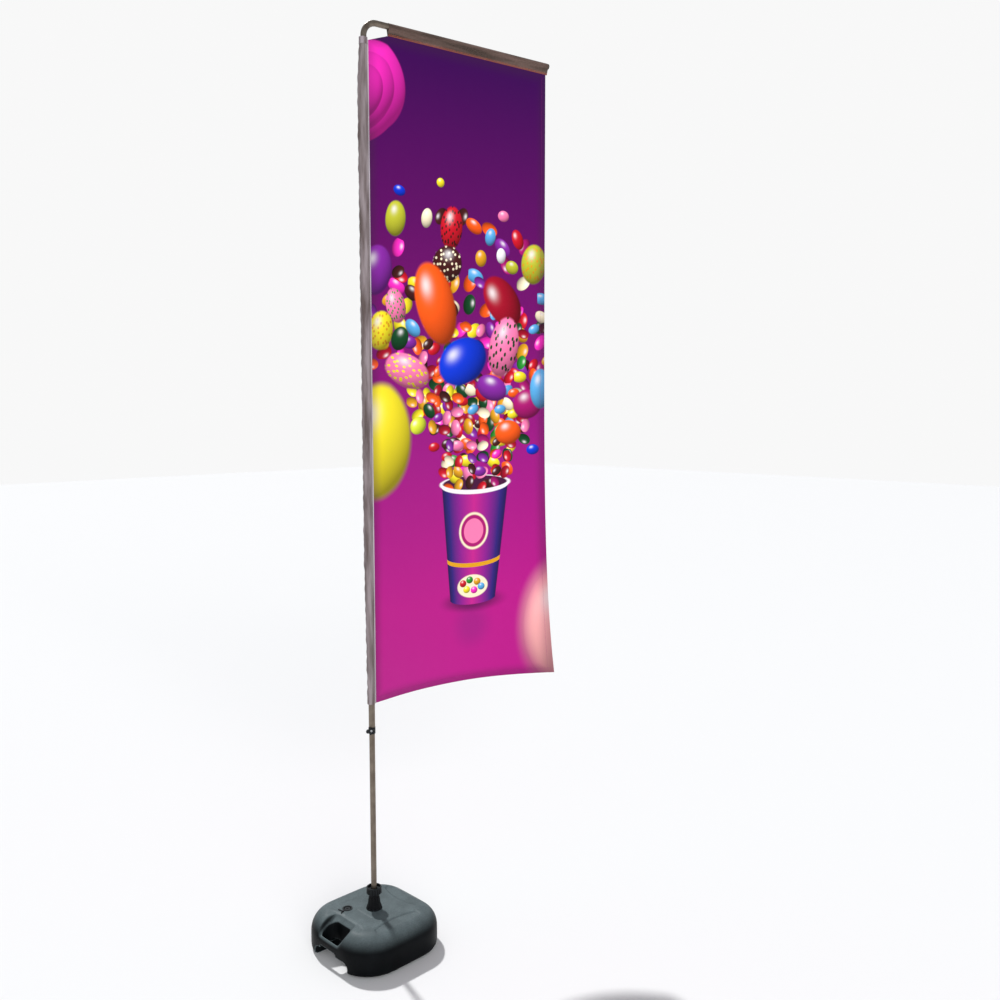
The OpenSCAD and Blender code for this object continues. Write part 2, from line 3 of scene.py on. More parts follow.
import bpy
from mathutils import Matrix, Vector


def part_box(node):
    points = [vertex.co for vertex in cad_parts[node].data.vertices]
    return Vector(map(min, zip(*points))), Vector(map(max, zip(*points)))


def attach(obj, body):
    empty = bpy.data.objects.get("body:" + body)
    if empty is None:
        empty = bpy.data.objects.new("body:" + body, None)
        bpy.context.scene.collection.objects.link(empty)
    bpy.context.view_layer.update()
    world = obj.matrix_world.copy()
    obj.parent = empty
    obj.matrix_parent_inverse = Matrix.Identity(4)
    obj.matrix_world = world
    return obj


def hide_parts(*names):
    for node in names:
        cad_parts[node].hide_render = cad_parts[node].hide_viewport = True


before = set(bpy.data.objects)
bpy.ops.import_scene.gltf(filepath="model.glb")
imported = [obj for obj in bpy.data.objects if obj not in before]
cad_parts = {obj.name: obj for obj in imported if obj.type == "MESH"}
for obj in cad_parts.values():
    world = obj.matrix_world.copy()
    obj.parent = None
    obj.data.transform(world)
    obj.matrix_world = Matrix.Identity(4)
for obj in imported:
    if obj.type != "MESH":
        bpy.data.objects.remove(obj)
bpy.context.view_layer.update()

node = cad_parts


# ---- Studio ----
# A plain pale floor, a high soft key behind the mast on the grip's far side, and a wide fill
# that lights the printed face without showing in the dark plastic.

scene = bpy.context.scene
scene.view_settings.view_transform = "Standard"

camera_data = bpy.data.cameras.new("camera")
camera_data.lens = 35.0
camera_data.clip_end = 200.0
camera = bpy.data.objects.new("camera", camera_data)
camera.location = (-2.553, -3.363, 2.397)
camera.rotation_euler = (math.radians(84.7), 0.0, math.radians(-44.9))
scene.collection.objects.link(camera)
scene.camera = camera


def new_material(name):
    """A new material with its node tree and its Principled shader."""
    material = bpy.data.materials.new(name)
    material.use_nodes = True
    return material, material.node_tree, material.node_tree.nodes["Principled BSDF"]


def add(tree, kind, inputs=(), **settings):
    """A node of that kind. An input is a plain value, or another node's output to join to it."""
    made = tree.nodes.new(kind)
    for key, value in settings.items():
        setattr(made, key, value)
    for key, value in dict(inputs).items():
        if isinstance(value, bpy.types.NodeSocket):
            tree.links.new(value, made.inputs[key])
        else:
            made.inputs[key].default_value = value
    return made


def colour(red, green, blue):
    """A colour from its 0 to 255 shades, as the shaders take it."""
    shades = [shade / 255 for shade in (red, green, blue)]
    return [s / 12.92 if s <= 0.04045 else ((s + 0.055) / 1.055) ** 2.4 for s in shades] + [1.0]


def soft_sun(name, towards, strength, spread, in_gloss=True):
    """A large far lamp that shines along a direction."""
    lamp = bpy.data.lights.new(name, "SUN")
    lamp.energy = strength
    lamp.angle = math.radians(spread)
    light = bpy.data.objects.new(name, lamp)
    light.rotation_euler = Vector(towards).to_track_quat("-Z", "Y").to_euler()
    light.visible_glossy = in_gloss
    scene.collection.objects.link(light)


soft_sun("key", (-0.18, -0.62, -0.77), 2.8, 3.0)
soft_sun("fill", (0.45, 0.85, -0.22), 1.95, 40.0, in_gloss=False)

world = bpy.data.worlds.new("studio")
world.use_nodes = True
scene.world = world
seen = add(world.node_tree, "ShaderNodeLightPath")
room = add(world.node_tree, "ShaderNodeMix", {"Factor": seen.outputs["Is Camera Ray"]}, data_type="RGBA")
room.inputs["A"].default_value = (0.33, 0.34, 0.36, 1.0)
room.inputs["B"].default_value = (0.94, 0.94, 0.94, 1.0)
background = world.node_tree.nodes["Background"]
world.node_tree.links.new(room.outputs["Result"], background.inputs["Color"])

bpy.ops.object.select_all(action="DESELECT")
bpy.ops.mesh.primitive_plane_add(size=60.0)
floor = bpy.context.object
floor.name = "floor"
floor_paint, tree, shader = new_material("floor_paint")
shader.inputs["Base Color"].default_value = (0.84, 0.84, 0.84, 1.0)
shader.inputs["Roughness"].default_value = 0.9
shader.inputs["Specular IOR Level"].default_value = 0.1
floor.data.materials.append(floor_paint)


# ---- Tank ----
# The blow-moulded polyethylene base that is filled with water. One closed shell with a well for
# the pole socket, a hand opening with a grip bar, a finger scoop and a filler recess.

TANK_HALF = 0.249           # from the pole axis to the middle of a bowed side
TANK_BOW = 0.008
TANK_TOP = 0.168
TANK_CORNER = 0.150
TANK_SHOULDER = 0.085
TANK_FOOT = 0.020
SLOPE_TOP = (-0.140, 0.012, 0.164)      # where the grip's slope leaves the top
SLOPE_ANGLE = math.atan2(0.060, 0.096)
RECESS_FLOOR = 0.164                    # height of the four bowed recesses
PANEL_FLOOR = 0.1665                    # height of the small panel between socket and grip
FILLER = (-0.090, 0.079)
BLANK_MESH = 0.0045                     # mesh sizes of the rough and the finished shell
SKIN_MESH = 0.0033


def only(piece):
    """Makes piece the one object that is selected and active."""
    bpy.ops.object.select_all(action="DESELECT")
    piece.select_set(True)
    bpy.context.view_layer.objects.active = piece


def block(name, low, high):
    """A cube primitive shaped to a box between two corners."""
    bpy.ops.object.select_all(action="DESELECT")
    middle = [(a + b) / 2 for a, b in zip(low, high)]
    bpy.ops.mesh.primitive_cube_add(size=1.0, location=middle)
    piece = bpy.context.object
    piece.name = name
    piece.scale = [b - a for a, b in zip(low, high)]
    bpy.ops.object.transform_apply(location=True, rotation=True, scale=True)
    return piece


def rod(name, radius, low, high, at=(0.0, 0.0), sides=64):
    """An upright cylinder primitive between two heights."""
    bpy.ops.object.select_all(action="DESELECT")
    bpy.ops.mesh.primitive_cylinder_add(
        vertices=sides, radius=radius, depth=high - low, location=(at[0], at[1], (low + high) / 2))
    piece = bpy.context.object
    piece.name = name
    bpy.ops.object.transform_apply(location=True, rotation=True, scale=True)
    return piece


def round_edges(piece, test, radius, segments=8):
    """Bevels the edges whose middle and direction pass the test."""
    only(piece)
    bpy.ops.object.mode_set(mode="EDIT")
    bpy.ops.mesh.select_mode(type="EDGE")
    bpy.ops.mesh.select_all(action="DESELECT")
    bpy.ops.object.mode_set(mode="OBJECT")
    points = piece.data.vertices
    for edge in piece.data.edges:
        a, b = (points[i].co for i in edge.vertices)
        edge.select = test((a + b) / 2, (b - a).normalized())
    bpy.ops.object.mode_set(mode="EDIT")
    bpy.ops.mesh.bevel(offset=radius, segments=segments, affect="EDGES")
    bpy.ops.object.mode_set(mode="OBJECT")


def apply(piece, kind, **settings):
    """Adds a modifier and applies it."""
    only(piece)
    modifier = piece.modifiers.new("step", kind)
    for key, value in settings.items():
        setattr(modifier, key, value)
    bpy.ops.object.modifier_apply(modifier=modifier.name)


def cut(piece, tool):
    """Takes the tool's shape out of the piece."""
    apply(piece, "BOOLEAN", operation="DIFFERENCE", solver="EXACT", object=tool)
    bpy.data.objects.remove(tool, do_unlink=True)


def smooth_step(low, high, x):
    """0 below low, 1 above high and a soft rise between them."""
    x = min(max((x - low) / (high - low), 0.0), 1.0)
    return x * x * (3.0 - 2.0 * x)


core = TANK_HALF - TANK_BOW
tank = block("tank_shell", (-core, -core, 0.0), (core, core, TANK_TOP))
round_edges(tank, lambda at, along: abs(along.z) > 0.9, TANK_CORNER, 24)
round_edges(tank, lambda at, along: at.z > TANK_TOP - 1e-5, TANK_SHOULDER, 16)
round_edges(tank, lambda at, along: at.z < 1e-5, TANK_FOOT, 6)
apply(tank, "REMESH", mode="VOXEL", voxel_size=BLANK_MESH)
for point in tank.data.vertices:
    x, y = point.co.x, point.co.y
    point.co.x = x * (1 + TANK_BOW / core * max(0.0, 1 - (y / TANK_HALF) ** 2))
    point.co.y = y * (1 + TANK_BOW / core * max(0.0, 1 - (x / TANK_HALF) ** 2))

slope = block("slope", (-0.26, -0.070, 0.0), (0.0, 0.070, 0.060))
for point in slope.data.vertices:
    if point.co.z > 0.03:
        point.co.y += 0.014 if point.co.y > 0 else -0.044
slope.rotation_euler = (0.0, -SLOPE_ANGLE, 0.0)
slope.location = SLOPE_TOP
cut(tank, slope)
apply(tank, "REMESH", mode="VOXEL", voxel_size=BLANK_MESH)
apply(tank, "SMOOTH", factor=0.5, iterations=24)

opening = block("opening", (-0.236, -0.052, -0.02), (-0.166, 0.076, 0.20))
for test, radius in (
        (lambda at, along: abs(along.z) > 0.9 and at.x > -0.17 and at.y > 0.07, 0.040),
        (lambda at, along: abs(along.z) > 0.9 and at.x < -0.23 and at.y > 0.07, 0.015),
        (lambda at, along: abs(along.z) > 0.9 and at.x < -0.23 and at.y < -0.05, 0.008),
        (lambda at, along: abs(along.z) > 0.9 and at.x > -0.17 and at.y < -0.05, 0.012)):
    round_edges(opening, test, radius)
cut(tank, opening)

scoop = block("scoop", (-0.30, -0.122, -0.06), (-0.152, 0.112, 0.054))
round_edges(scoop, lambda at, along: abs(along.x) > 0.9 and at.z > 0.05 and at.y < 0, 0.025)
round_edges(scoop, lambda at, along: abs(along.x) > 0.9 and at.z > 0.05 and at.y > 0.1, 0.038)
cut(tank, scoop)
under_bar = block("under_bar", (-0.30, -0.044, -0.06), (-0.1525, 0.068, 0.068))
round_edges(under_bar, lambda at, along: abs(along.x) > 0.9 and at.z > 0.06, 0.006)
cut(tank, under_bar)

apply(tank, "REMESH", mode="VOXEL", voxel_size=SKIN_MESH)
apply(tank, "SMOOTH", factor=0.5, iterations=3)


RECESS_BOW, BOW_CENTRE = 0.320, 0.448   # radius of the edge that bows to the pole, and its centre
RECESS_HALF, RECESS_CORNER = 0.122, 0.050
RECESS_SKIRT = 0.044                    # below this under the recess, the shell is left alone


def recess_mask(x, y):
    """How far a point lies inside the bowed recess on the tank's +X side, 0 outside to 1 inside."""
    bow = RECESS_BOW - math.hypot(x - BOW_CENTRE, y)
    end = RECESS_HALF - abs(y)
    corner_x = BOW_CENTRE - RECESS_BOW + RECESS_CORNER - x
    corner_y = abs(y) - RECESS_HALF + RECESS_CORNER
    if corner_x > 0 and corner_y > 0:
        end = min(end, RECESS_CORNER - math.hypot(corner_x, corner_y))
    return smooth_step(-0.004, 0.004, min(bow, end))


for point in tank.data.vertices:
    x, y, z = point.co
    if z < RECESS_FLOOR - RECESS_SKIRT:
        continue
    # The recess on the grip's side is half as deep as the other three.
    inside = max(recess_mask(x, y), 0.5 * recess_mask(-x, y), recess_mask(y, x), recess_mask(-y, x))
    z -= inside * max(0.0, z - RECESS_FLOOR)
    panel = min(x + 0.148, -0.060 - x, y + 0.066, 0.044 - y)
    z -= smooth_step(-0.004, 0.005, panel) * max(0.0, z - PANEL_FLOOR)
    point.co.z = z

cut(tank, rod("seat", 0.0365, 0.1655, 0.2))
cut(tank, rod("well", 0.0173, 0.006, 0.19))
cut(tank, rod("filler_recess", 0.017, 0.160, 0.19, at=FILLER))
cut(tank, rod("filler_hole", 0.010, 0.146, 0.19, at=FILLER))
only(tank)
bpy.ops.object.shade_smooth_by_angle(angle=math.radians(38))


def surface_group(name, takes, gives):
    """A node group with one input and one output for each name and kind of socket."""
    group = bpy.data.node_groups.new(name, "ShaderNodeTree")
    for in_out, sockets in (("INPUT", takes), ("OUTPUT", gives)):
        for label, kind in sockets.items():
            group.interface.new_socket(label, in_out=in_out, socket_type="NodeSocket" + kind)
    return group, group.nodes.new("NodeGroupInput"), group.nodes.new("NodeGroupOutput")


def group_node(tree, group, inputs):
    """The outputs of a node group placed in a tree."""
    return add(tree, "ShaderNodeGroup", inputs, node_tree=group).outputs


def ramp(tree, factor, stops, interpolation="LINEAR"):
    """A colour ramp with its stops' places and colours."""
    made = add(tree, "ShaderNodeValToRGB", {"Fac": factor})
    made.color_ramp.interpolation = interpolation
    elements = made.color_ramp.elements
    while len(elements) < len(stops):
        elements.new(1.0)
    for element, (place, shade) in zip(elements, stops):
        element.position = place
        element.color = shade
    return made.outputs["Color"]


def mix(tree, factor, first, second):
    """The colour mixed from two, which are colours or outputs."""
    made = add(tree, "ShaderNodeMix", data_type="RGBA")
    sockets = [socket for socket in made.inputs if socket.enabled]
    for socket, value in zip(sockets, (factor, first, second)):
        if isinstance(value, bpy.types.NodeSocket):
            tree.links.new(value, socket)
        else:
            socket.default_value = value
    return next(socket for socket in made.outputs if socket.enabled)


def maths(tree, operation, first, second=0.0, clamp=False):
    return add(tree, "ShaderNodeMath", {0: first, 1: second},
               operation=operation, use_clamp=clamp).outputs[0]


def times(tree, first, second):
    return maths(tree, "MULTIPLY", first, second)


def map_range(tree, value, from_min, from_max, to_min=0.0, to_max=1.0, smooth=False):
    return add(tree, "ShaderNodeMapRange", {
        "Value": value, "From Min": from_min, "From Max": from_max, "To Min": to_min, "To Max": to_max},
        interpolation_type="SMOOTHSTEP" if smooth else "LINEAR").outputs[0]


def noise(tree, place, scale, detail):
    made = add(tree, "ShaderNodeTexNoise", {"Vector": place, "Scale": scale, "Detail": detail})
    return made.outputs["Fac"]


def bump(tree, height, strength, depth, over=None):
    """A normal that follows a height. Over is a finer bump's normal that lies on it."""
    inputs = {"Height": height, "Strength": strength, "Distance": depth}
    if over is not None:
        inputs["Normal"] = over
    return add(tree, "ShaderNodeBump", inputs).outputs["Normal"]


# The moulded skin: mottled shade, fine grain, dust and painted light where it faces up, a painted highlight
# on convex edges and painted shade in creases.
moulded, given, out = surface_group("moulded_skin", {"Place": "Vector"}, dict.fromkeys(
    ("Mottle", "Grain", "Dust And Top Light", "Edge Highlight", "Crease Shade"), "Float"))
spot = given.outputs["Place"]
grain = add(moulded, "ShaderNodeTexVoronoi", {"Vector": spot, "Scale": 620.0})
shape = add(moulded, "ShaderNodeNewGeometry").outputs
facing = add(moulded, "ShaderNodeSeparateXYZ", {0: shape["Normal"]}).outputs
# Faces that point up go towards the pale top colour: partly dust, partly painted light on the lit top.
level = map_range(moulded, facing["Z"], 0.25, 1.0, smooth=True)
patches = times(moulded, noise(moulded, spot, 14.0, 6.0), noise(moulded, spot, 240.0, 3.0))
dust_and_light_patches = map_range(moulded, patches, 0.12, 0.40, 0.62, 1.0)
# Pointiness marks convex edges for a painted highlight and concave creases for painted shade.
for label, source in (
        ("Mottle", noise(moulded, spot, 9.0, 5.0)),
        ("Grain", grain.outputs["Distance"]),
        ("Dust And Top Light", times(moulded, dust_and_light_patches, level)),
        ("Edge Highlight", map_range(moulded, shape["Pointiness"], 0.515, 0.58)),
        ("Crease Shade", map_range(moulded, shape["Pointiness"], 0.492, 0.455))):
    moulded.links.new(source, out.inputs[label])


def moulded_plastic(name, dark, light, dust_and_lit_top, dust_and_light_amount, rough, grain_depth, gloss, edge_highlight=0.1):
    """Moulded plastic: two close shades, paler where it faces up with dust and painted light, a painted
    highlight on convex edges and painted shade in creases.
    """
    material, tree, shader = new_material(name)
    place = add(tree, "ShaderNodeTexCoord").outputs["Object"]
    skin = group_node(tree, moulded, {"Place": place})
    shades = ramp(tree, skin["Mottle"], [(0.35, dark), (0.68, light)])
    dusted_and_lit = mix(tree, times(tree, skin["Dust And Top Light"], dust_and_light_amount), shades, dust_and_lit_top)
    # Concave creases are darkened towards the dark colour: painted shade.
    crease_shaded = mix(tree, times(tree, skin["Crease Shade"], 0.75), dusted_and_lit, dark)
    # Convex edges are lightened towards a colour twice as pale as the top: a painted highlight.
    highlight_shade = [2.0 * part for part in dust_and_lit_top[:3]] + [1.0]
    skin_shade = mix(tree, times(tree, skin["Edge Highlight"], edge_highlight), crease_shaded, highlight_shade)
    dulled = map_range(tree, skin["Mottle"], 0.0, 1.0, rough - 0.08, rough + 0.1)
    tree.links.new(skin_shade, shader.inputs["Base Color"])
    tree.links.new(dulled, shader.inputs["Roughness"])
    tree.links.new(bump(tree, skin["Grain"], 0.35, grain_depth), shader.inputs["Normal"])
    shader.inputs["Specular IOR Level"].default_value = gloss
    return material


def dress(names, material):
    """Gives CAD nodes their finished material."""
    for name in names:
        node[name].data.materials.clear()
        node[name].data.materials.append(material)


# In this and every moulded plastic below, the third colour is dust and painted light on the top, and pale
# edges are a painted highlight.
charcoal = moulded_plastic(
    "charcoal_polyethylene", (0.002, 0.0025, 0.003, 1), (0.005, 0.006, 0.007, 1), (0.135, 0.170, 0.178, 1),
    1.0, 0.42, 0.0004, 0.06, edge_highlight=0.6)
tank.data.materials.append(charcoal)
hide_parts("tank")
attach(tank, "base")


# ---- Filler ----
# A black screw plug over a rubber ring, kept by a soft black strap that lies on the tank's top.

black = moulded_plastic(
    "black_nylon", (0.003, 0.003, 0.004, 1), (0.006, 0.006, 0.007, 1), (0.06, 0.07, 0.075, 1),
    0.2, 0.34, 0.0002, 0.14)
dress(["fill_cap", "cap_tether"], black)
rubber = moulded_plastic(
    "seal_rubber", (0.006, 0.006, 0.006, 1), (0.012, 0.012, 0.012, 1), (0.05, 0.05, 0.05, 1),
    0.3, 0.75, 0.0002, 0.2)
dress(["fill_seal", "socket_gasket"], rubber)


# ---- Pole socket ----
# A black moulded neck screwed into the tank's well, with a slit ring of grey acetal that the
# lock nut squeezes onto the pole.

dress(["socket", "lock_nut"], black)
acetal = moulded_plastic(
    "grey_acetal", (0.26, 0.26, 0.25, 1), (0.34, 0.34, 0.33, 1), (0.42, 0.41, 0.39, 1),
    0.2, 0.45, 0.0001, 0.45)
dress(["collet", "pole_top_bush"], acetal)


# ---- Tubes ----
# The lower pole, the mast tube and the bent arm are drawn aluminium, anodised a brownish grey.
# Fine die lines run along them, and handling has left soft marks.


def drawn_metal(name, shade, worn, metal, rough, lines, along=(1.0, 1.0, 0.004)):
    """Metal with fine lines along its length and soft marks."""
    material, tree, shader = new_material(name)
    place = add(tree, "ShaderNodeTexCoord").outputs["Object"]
    stretched = add(tree, "ShaderNodeMapping", {"Vector": place, "Scale": along}).outputs[0]
    marks = noise(tree, place, 22.0, 6.0)
    lined = bump(tree, noise(tree, stretched, 900.0, 2.0), lines, 0.0001)
    tree.links.new(ramp(tree, marks, [(0.38, shade), (0.72, worn)]), shader.inputs["Base Color"])
    tree.links.new(map_range(tree, marks, 0.0, 1.0, rough - 0.1, rough + 0.14), shader.inputs["Roughness"])
    tree.links.new(lined, shader.inputs["Normal"])
    shader.inputs["Metallic"].default_value = metal
    return material


anodised = drawn_metal(
    "bronze_anodised", (0.17, 0.135, 0.105, 1), (0.27, 0.225, 0.18, 1), 0.8, 0.42, 0.5)
dress(["lower_pole", "mast_tube", "arm_tube"], anodised)
dress(["pole_foot_plug", "mast_foot_bush", "mast_top_bush", "arm_end_cap"], black)


# ---- Height clamp ----
# A black collar that the mast stands on, held at any height by a zinc-plated screw in a brass
# insert, which is turned by a lobed lever.

dress(["stop_collar", "clamp_lever"], black)
zinc = drawn_metal("zinc_plate", (0.46, 0.47, 0.49, 1), (0.62, 0.62, 0.62, 1), 1.0, 0.3, 0.3, (1, 1, 1))
brass = drawn_metal("turned_brass", (0.55, 0.40, 0.15, 1), (0.66, 0.52, 0.24, 1), 1.0, 0.3, 0.3, (1, 1, 1))
dress(["clamp_screw", "snap_button", "snap_clip"], zinc)
dress(["clamp_insert"], brass)


# ---- Cloth on the tubes ----
# Thin white polyester, coloured brownish grey as painted shade with the brown tube seen through it:
# a sleeve down the mast that stands slack behind the tube, a doubled band at its top, and a sleeve
# over the arm that a seam draws tight below the tube.

HEADING = math.radians(-10.0)       # the arm's direction about the mast
MAST_R = 0.0145                     # inside of the sleeve where it lies on the mast
SLEEVE_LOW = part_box("mast_sleeve")[0].z
SLEEVE_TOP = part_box("mast_sleeve")[1].z
ARM_Z = 4.0
ARM_DROP = 0.038                    # from the arm's axis to its sleeve's seam
ARM_START = 0.115
ARM_END = 0.957
ARM_GIRTH = 0.128                   # flat width of the arm's sleeve
BAND_H = 0.028


def from_arm(u, v, z):
    """A point given along the arm, across it and up."""
    return (u * math.cos(HEADING) - v * math.sin(HEADING), u * math.sin(HEADING) + v * math.cos(HEADING), z)


def cloth(name, columns, rows, place, size, thickness=0.0005, closed=False):
    """A grid of cloth shaped by place(t, w), with its UV map in metres of flat cloth."""
    bpy.ops.object.select_all(action="DESELECT")
    bpy.ops.mesh.primitive_grid_add(x_subdivisions=columns, y_subdivisions=rows, size=2.0, calc_uvs=True)
    piece = bpy.context.object
    piece.name = name
    layer = piece.data.uv_layers.active.data
    for loop in piece.data.loops:
        co = piece.data.vertices[loop.vertex_index].co
        layer[loop.index].uv = ((co.x + 1) / 2 * size[0], (co.y + 1) / 2 * size[1])
    for point in piece.data.vertices:
        point.co = place((point.co.x + 1) / 2, (point.co.y + 1) / 2)
    if closed:
        bpy.ops.object.mode_set(mode="EDIT")
        bpy.ops.mesh.select_all(action="SELECT")
        bpy.ops.mesh.remove_doubles(threshold=0.00001)
        bpy.ops.mesh.normals_make_consistent(inside=False)
        bpy.ops.object.mode_set(mode="OBJECT")
    apply(piece, "SOLIDIFY", thickness=thickness, offset=0.0)
    only(piece)
    bpy.ops.object.shade_smooth_by_angle(angle=math.radians(50))
    return piece


def slack_at(z):
    """How far the empty side of the mast sleeve stands off the tube."""
    rise = (z - SLEEVE_LOW) / (SLEEVE_TOP - SLEEVE_LOW)
    return 0.003 + 0.007 * smooth_step(0.0, 0.25, rise) + 0.004 * rise - 0.011 * smooth_step(0.93, 1.0, rise)


def loop_point(t, radius, slack):
    """A point round a circle at the tube joined to one that stands off by slack, from the seam."""
    turn = math.pi * radius
    run = t * (2 * turn + 2 * slack)
    if run < turn / 2:
        a = run / radius
        return radius * math.cos(a), radius * math.sin(a), math.cos(a), math.sin(a)
    run -= turn / 2
    if run < slack:
        return -run, radius, 0.0, 1.0
    run -= slack
    if run < turn:
        a = math.pi / 2 + run / radius
        return -slack + radius * math.cos(a), radius * math.sin(a), math.cos(a), math.sin(a)
    run -= turn
    if run < slack:
        return -slack + run, -radius, 0.0, -1.0
    a = 1.5 * math.pi + (run - slack) / radius
    return radius * math.cos(a), radius * math.sin(a), math.cos(a), math.sin(a)


def mast_sleeve_point(t, w):
    """A point of the mast's sleeve, pulled into slanting folds on its slack side."""
    z = SLEEVE_LOW + (SLEEVE_TOP - SLEEVE_LOW) * w
    u, v, nu, nv = loop_point(t, MAST_R + 0.0006, slack_at(z))
    free = smooth_step(0.15, 0.4, t) * smooth_step(0.15, 0.4, 1 - t)
    side = 1 if t < 0.5 else -1
    pull = math.sin(2 * math.pi * (z * 7.5 + side * t * 1.6)) * math.sin(2 * math.pi * z * 0.9 + 0.7)
    fine = math.sin(2 * math.pi * (z * 21.0 - side * t * 2.3) + 1.3 * math.sin(9.0 * z))
    push = free * (0.0018 * pull + 0.0008 * fine)
    return from_arm(u + nu * push, v + nv * push, z)


def band_point(t, w):
    """A point of the doubled band, just outside the sleeve."""
    z = SLEEVE_TOP - BAND_H * (1 - w)
    u, v, nu, nv = loop_point(t, MAST_R + 0.0018, slack_at(z))
    return from_arm(u, v, z)


# The knit: fine crossed threads, and creases that lean across the cloth.
weave, given, out = surface_group("knit", {"Place": "Vector"}, {"Thread": "Float", "Creases": "Float"})
spot = given.outputs["Place"]
ribs, rows = (add(weave, "ShaderNodeTexWave", {"Vector": spot, "Scale": 260.0}, bands_direction=way)
              for way in "XY")
crossed = times(weave, ribs.outputs["Fac"], rows.outputs["Fac"])
leaning = add(weave, "ShaderNodeMapping", {
    "Vector": spot, "Rotation": (0.0, 0.0, math.radians(32.0)), "Scale": (38.0, 4.0, 1.0)})
weave.links.new(crossed, out.inputs["Thread"])
weave.links.new(noise(weave, leaning.outputs[0], 1.0, 4.0), out.inputs["Creases"])


def sleeve_cloth(name, low, high, cover):
    """Thin plain knit that the tube shows through, paler along its creases."""
    material, tree, shader = new_material(name)
    place = add(tree, "ShaderNodeTexCoord").outputs["UV"]
    knit = group_node(tree, weave, {"Place": place})
    creases = knit["Creases"]
    threads = bump(tree, knit["Thread"], 0.4, 0.0002)
    tree.links.new(ramp(tree, creases, [(0.36, low), (0.62, high)]), shader.inputs["Base Color"])
    tree.links.new(map_range(tree, creases, 0.3, 0.7, cover - 0.1, cover + 0.12), shader.inputs["Alpha"])
    tree.links.new(bump(tree, creases, 0.5, 0.0015, threads), shader.inputs["Normal"])
    shader.inputs["Roughness"].default_value = 0.62
    shader.inputs["Sheen Weight"].default_value = 0.25
    shader.inputs["Specular IOR Level"].default_value = 0.3
    return material


# The sleeve colours are white knit with painted shade and the brown tube seen through it.
shaded_mast_sleeve = sleeve_cloth("mast_sleeve_cloth", colour(104, 90, 88), colour(152, 140, 143), 0.84)
band_cloth = sleeve_cloth("doubled_sleeve_cloth", colour(112, 96, 98), colour(160, 148, 154), 0.88)
round_mast = 2 * math.pi * MAST_R + 0.02
sleeve_flat = (round_mast, SLEEVE_TOP - SLEEVE_LOW)
band_flat = (round_mast, BAND_H)
arm_flat = (ARM_GIRTH, ARM_END - ARM_START)
sleeve = cloth("mast_sleeve_cloth", 40, 640, mast_sleeve_point, sleeve_flat, closed=True)
sleeve.data.materials.append(shaded_mast_sleeve)
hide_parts("mast_sleeve")
band = cloth("mast_sleeve_band", 40, 8, band_point, band_flat, 0.0008, closed=True)
band.data.materials.append(band_cloth)
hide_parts("sleeve_band")


def arm_sleeve_point(t, w):
    """Round over the arm and straight down to the seam on both sides."""
    radius = 0.0134
    side = math.acos(radius / ARM_DROP)
    arc = 2 * math.pi - 2 * side
    leg = math.sqrt(ARM_DROP ** 2 - radius ** 2)
    run = t * (2 * leg + radius * arc)
    pucker = 0.0005 * math.sin(2 * math.pi * w * 46) + 0.0004 * math.sin(2 * math.pi * w * 17 + 1.0)
    if run < leg:
        share = run / leg
        v = radius * math.sin(side) * share + pucker * 4 * share * (1 - share)
        z = -ARM_DROP + share * (ARM_DROP - radius * math.cos(side))
    elif run < leg + radius * arc:
        a = side - math.pi / 2 + (run - leg) / radius
        v, z = radius * math.cos(a), radius * math.sin(a)
    else:
        share = (2 * leg + radius * arc - run) / leg
        v = -radius * math.sin(side) * share + pucker * 4 * share * (1 - share)
        z = -ARM_DROP + share * (ARM_DROP - radius * math.cos(side))
    start = ARM_START + 0.10 * min(0.0, z + 0.010)
    return from_arm(start + (ARM_END - start) * w, v, ARM_Z + z)


# Painted shade with the tube seen through, as on the mast sleeve.
shaded_arm_sleeve = sleeve_cloth("arm_sleeve_cloth", colour(70, 55, 47), colour(104, 82, 74), 0.9)
arm_cloth = cloth("arm_sleeve_cloth", 56, 300, arm_sleeve_point, arm_flat, closed=True)
arm_cloth.data.materials.append(shaded_arm_sleeve)
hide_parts("arm_sleeve")
for piece in (sleeve, band, arm_cloth):
    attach(piece, "mast")


# ---- Printed panel ----
# Glossy knitted polyester, dye-printed edge to edge. Its top hangs from the arm sleeve's seam,
# its long edge is sewn to the mast sleeve, and the other two edges are hemmed.

SEAM_U = 0.017
END_U = 0.948
PANEL_LOW = 1.107
PANEL_TOP = 3.9617
PANEL_CORNER = 3.925
BELLY = 0.085
CURL = 0.120
DRAW_IN = 0.022
LIFT = 0.024
FLAT_W = END_U - SEAM_U
FLAT_H = PANEL_TOP - PANEL_LOW
HEM = 0.024


def panel_point(t, w):
    """A point of the cloth. t runs from the mast to the free edge and w from the bottom up."""
    u = SEAM_U + (FLAT_W - DRAW_IN * (1 - w) ** 2) * t
    v = BELLY * math.sin(math.pi * t) * (1 - w) ** 1.2 - CURL * t ** 6 * math.exp(-w / 0.2)
    low = PANEL_LOW + LIFT * t ** 5
    high = min(PANEL_TOP, PANEL_CORNER + (PANEL_TOP - PANEL_CORNER) * FLAT_W * t / (ARM_START - SEAM_U))
    z = low + (high - low) * w
    pull = math.exp(-t / 0.05) * 0.0016 * math.sin(2 * math.pi * (z * 7.5 + t * 3.0)) * min(1.0, t / 0.01)
    soft = 0.0022 * math.sin(2 * math.pi * (0.9 * z + 1.7 * t)) * math.sin(math.pi * t) * (1 - w)
    return from_arm(u, v + pull + soft, z)


panel = cloth("printed_panel", 96, 290, panel_point, (FLAT_W, FLAT_H), 0.0005)
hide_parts("flag_panel")

